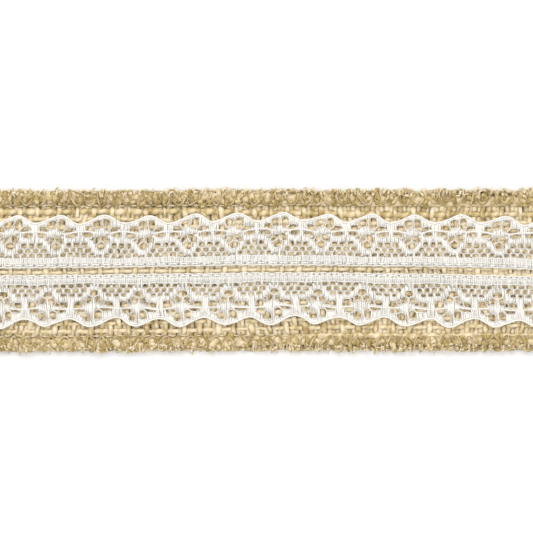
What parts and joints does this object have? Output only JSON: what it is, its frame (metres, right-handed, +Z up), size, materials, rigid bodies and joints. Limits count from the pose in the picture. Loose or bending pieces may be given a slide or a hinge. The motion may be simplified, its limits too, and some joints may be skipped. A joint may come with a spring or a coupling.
{
  "type": "table runner",
  "caption": "Narrow burlap table runner with overlocked edges and two strips of scalloped lace sewn along its middle, laid flat.",
  "frame": {"origin": "centre of the underside, on the surface that the runner lies on", "axes": "+X along the runner, +Y across it towards the far long edge, +Z up"},
  "size_m": [1, 0.05, 0.0033],
  "materials": {
    "burlap": "plain-woven natural jute, matt and hairy",
    "lace": "white knitted cotton-look lace, matt with a slight sheen",
    "overlock_thread": "thick fuzzy jute-coloured looper thread, matt",
    "sewing_thread": "fine white spun sewing thread, slight sheen"
  },
  "bodies": {
    "root": {"burlap_cloth": "burlap", "far_lace": "lace", "near_lace": "lace", "far_lace_needle_thread": "sewing_thread", "far_lace_bobbin_thread": "sewing_thread", "near_lace_needle_thread": "sewing_thread", "near_lace_bobbin_thread": "sewing_thread", "far_edge_upper_looper_thread": "overlock_thread", "far_edge_lower_looper_thread": "overlock_thread", "far_edge_needle_thread": "overlock_thread", "near_edge_upper_looper_thread": "overlock_thread", "near_edge_lower_looper_thread": "overlock_thread", "near_edge_needle_thread": "overlock_thread", "right_end_upper_looper_thread": "overlock_thread", "right_end_lower_looper_thread": "overlock_thread", "right_end_needle_thread": "overlock_thread", "left_end_upper_looper_thread": "overlock_thread", "left_end_lower_looper_thread": "overlock_thread", "left_end_needle_thread": "overlock_thread"}
  },
  "joints": []
}
